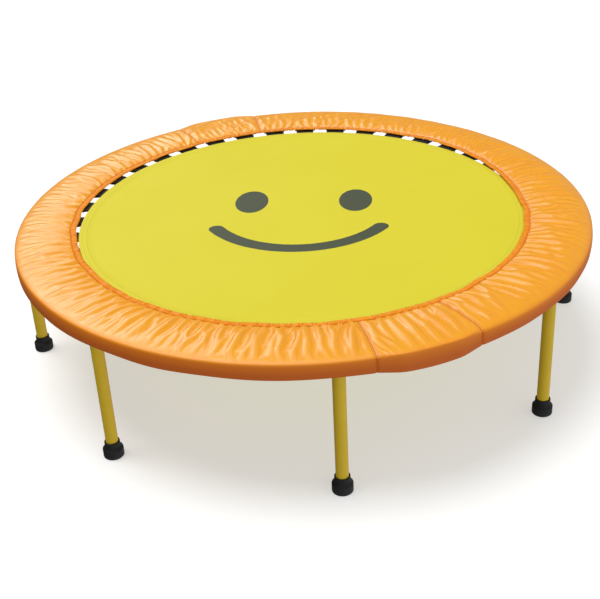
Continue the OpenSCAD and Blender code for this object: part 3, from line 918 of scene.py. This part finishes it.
def makeFloor():
    s = studio
    half = s["floorSize"] / 2
    corners = [(-half, -half, 0), (half, -half, 0), (half, half, 0), (-half, half, 0)]
    mesh = bpy.data.meshes.new("floor")
    mesh.from_pydata(corners, [], [(0, 1, 2, 3)])
    material = bpy.data.materials.new("floor")
    material.use_nodes = True
    tree = material.node_tree
    shader = tree.nodes["Principled BSDF"]
    shader.inputs["Base Color"].default_value = s["floorColour"]
    shader.inputs["Roughness"].default_value = s["floorRough"]
    shader.inputs["Specular IOR Level"].default_value = s["floorGloss"]
    shader.inputs["Emission Color"].default_value = (1, 1, 1, 1)  # painted light: the floor glows evenly, which lifts the part's shadow on it; it lights nothing else
    shader.inputs["Emission Strength"].default_value = s["floorPaintedGlow"]
    surface = Wire(tree, shader.outputs[0])
    behind = Wire(tree, tree.nodes.new("ShaderNodeNewGeometry").outputs["Backfacing"])
    clear = surface.node("BsdfTransparent", {}, {})
    shown = surface.node("MixShader", {}, {0: behind, 1: surface, 2: clear})  # open from below
    tree.links.new(shown.socket, tree.nodes["Material Output"].inputs["Surface"])
    mesh.materials.append(material)
    floor = bpy.data.objects.new("floor", mesh)
    bpy.context.scene.collection.objects.link(floor)
    # the sky below lights the part instead
    floor.visible_diffuse = floor.visible_glossy = floor.visible_shadow = False


def makeSky():
    s = studio
    world = bpy.data.worlds.new("sky")
    world.use_nodes = True
    tree = world.node_tree
    way = Wire(tree, tree.nodes.new("ShaderNodeTexCoord").outputs["Generated"])
    x, y, z = way.parts()
    side = math.radians(s["brightSide"])
    glow = z.above(0.0, s["horizon"]) * (s["skyAbove"] - s["skyBelow"]) + s["skyBelow"]
    glow = glow * (1 + s["lean"] * (x * math.cos(side) + y * math.sin(side)))
    seen = Wire(tree, tree.nodes.new("ShaderNodeLightPath").outputs["Is Camera Ray"])
    glow = glow + seen * (s["backdrop"] - glow)  # plain white behind the part
    tree.links.new(glow.socket, tree.nodes["Background"].inputs["Strength"])
    tree.nodes["Background"].inputs["Color"].default_value = (1, 1, 1, 1)
    bpy.context.scene.world = world


def makeLights():
    s, b = studio["sun"], studio["softbox"]
    sun = bpy.data.lights.new("sun", "SUN")
    sun.energy, sun.angle = s["strength"], math.radians(s["spread"])
    sunObject = bpy.data.objects.new("sun", sun)
    sunObject.rotation_euler = [math.radians(a) for a in s["aim"]]
    box = bpy.data.lights.new("softbox", "AREA")
    box.shape, box.energy = "RECTANGLE", b["power"]
    box.size, box.size_y = b["wide"], b["tall"]
    boxObject = bpy.data.objects.new("softbox", box)
    boxObject.location = b["place"]
    boxObject.visible_diffuse = False  # it only shows as the cloth's gloss
    boxObject.rotation_euler = (-boxObject.location).to_track_quat("-Z", "Y").to_euler()
    for lamp in (sunObject, boxObject):
        bpy.context.scene.collection.objects.link(lamp)


makeCamera()
makeFloor()
makeSky()
makeLights()
bpy.context.scene.view_settings.view_transform = "Standard"
print("camera and studio ready")

paint = makePowderCoat()
zinc = makeZincPlate()
legNumbers = range(1, 9)
dress(paint, "left_frame_tube", "right_frame_tube", "left_leg_bosses", "right_leg_bosses")
dress(paint, "front_hinge_bracket", "rear_hinge_bracket", "front_hinge_tongue", "rear_hinge_tongue")
dress(paint, *[f"leg_tube_{k}" for k in legNumbers])
dress(zinc, "front_hinge_pin", "rear_hinge_pin", *[f"leg_stud_{k}" for k in legNumbers])
print("frame, hinges and legs painted")

padPiece = makePad()
bendAtFold(padPiece)
hemPiece = makeHem(makePadCloth("hem_cloth", 0))
bendAtFold(hemPiece)
print("pad and hem sewn:", len(padPiece.data.vertices), "points")

cloth = makeMatCloth()
strap = makeWebbing()
for side in sides:
    makeMat(side, cloth)
    makeTabs(side, strap)
    makeRings(side, zinc)
makeSprings(zinc)
print("mat hung on", linkSet["springs"], "springs")

sole = makeRubber()
for k in legNumbers:
    makeFoot(k, sole)
print("feet fitted")
